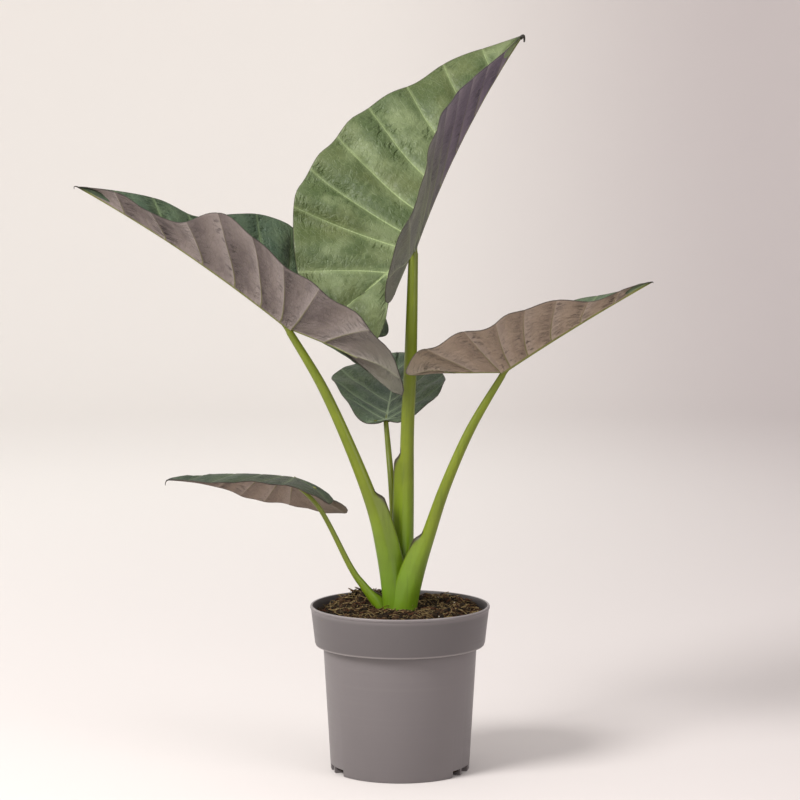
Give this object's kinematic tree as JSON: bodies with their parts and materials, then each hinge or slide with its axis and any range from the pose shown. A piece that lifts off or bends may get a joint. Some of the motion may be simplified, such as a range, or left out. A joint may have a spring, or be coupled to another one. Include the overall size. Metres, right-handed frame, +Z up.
{
  "type": "potted regal shields alocasia",
  "caption": "Alocasia with shield-shaped, wavy, veined leaves on sheathed stalks, growing from soil in a plain round nursery pot",
  "frame": {"origin": "centre of the pot's flat underside", "axes": "+Z up along the pot's axis; -Y is the front of the plant as pictured; +X is to the right seen from the front"},
  "size_m": [0.5251, 0.2686, 0.6997],
  "materials": {
    "pot_plastic": "moulded warm grey polypropylene, satin",
    "soil": "loose moist peat and coir with fibres and bark",
    "stalk": "smooth olive-green fleshy stalks, satin",
    "blade": "leathery grey-green leaf with pale veins and a purple-brown underside, satin"
  },
  "bodies": {
    "root": {"pot": "pot_plastic", "soil": "soil", "stalks": "stalk", "leaf_top": "blade", "leaf_left": "blade", "leaf_right": "blade", "leaf_back": "blade", "leaf_low": "blade"}
  },
  "joints": []
}
